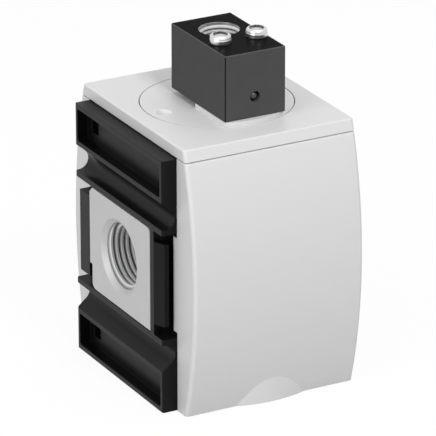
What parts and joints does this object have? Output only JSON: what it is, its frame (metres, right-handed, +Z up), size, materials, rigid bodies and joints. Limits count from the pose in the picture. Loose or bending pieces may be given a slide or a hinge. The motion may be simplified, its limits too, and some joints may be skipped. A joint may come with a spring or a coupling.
{
  "type": "directional control valve",
  "caption": "Piloted poppet shut-off valve module: barrel-fronted housing with side clamp grooves, threaded side and bottom ports, and a pilot block on top.",
  "frame": {"origin": "centre of the exhaust port mouth, on the valve's underside and on the valve axis", "axes": "+Z up along the valve axis, +X along the line of modules from the left (inlet) port to the right (outlet) port, -Y the front"},
  "size_m": [0.063, 0.0794, 0.1105],
  "materials": {
    "black_plastic": "fine grained moulded black polyamide",
    "cover_plastic": "satin light grey moulded plastic",
    "inner_plastic": "natural acetal",
    "cast_zinc": "satin die-cast zinc, machined threads",
    "plain_aluminium": "turned",
    "black_anodised": "black anodised aluminium",
    "turned_brass": "turned",
    "bright_steel": "bright zinc plated",
    "spring_steel": "phosphated spring steel",
    "seal_rubber": "moulded nitrile rubber"
  },
  "bodies": {
    "body": {"valve_housing": "black_plastic", "front_cover": "cover_plastic", "rear_cover": "cover_plastic", "top_lid": "cover_plastic", "pilot_disc": "cover_plastic", "left_port_plate": "cast_zinc", "right_port_plate": "cast_zinc", "left_port_seal": "seal_rubber", "right_port_seal": "seal_rubber", "upper_seat": "turned_brass", "upper_seat_seal": "seal_rubber", "lower_seat": "turned_brass", "lower_seat_seal": "seal_rubber", "stem_guide": "inner_plastic", "stem_guide_seal": "seal_rubber", "stem_seal": "seal_rubber", "return_spring": "bright_steel", "exhaust_adapter": "cast_zinc", "exhaust_adapter_seal": "seal_rubber", "retaining_ring": "spring_steel", "pilot_disc_seal": "seal_rubber", "pilot_block": "black_anodised", "pilot_block_seal": "seal_rubber", "cross_drill_ball": "spring_steel", "pilot_block_screws": "bright_steel"},
    "poppet": {"valve_stem": "bright_steel", "poppet_plate": "plain_aluminium", "poppet_upper_facing": "seal_rubber", "poppet_lower_facing": "seal_rubber", "poppet_nut": "bright_steel", "pilot_piston": "inner_plastic", "piston_seal": "seal_rubber", "piston_nut": "bright_steel"}
  },
  "joints": [
    {"name": "poppet_slide", "type": "slide", "parent": "body", "child": "poppet", "axis": [0, 0, 1], "range_m": [-0.004, 0], "stiffness_N_per_m": 2000, "springref_m": 0.02, "deforming": ["return_spring"]}
  ]
}
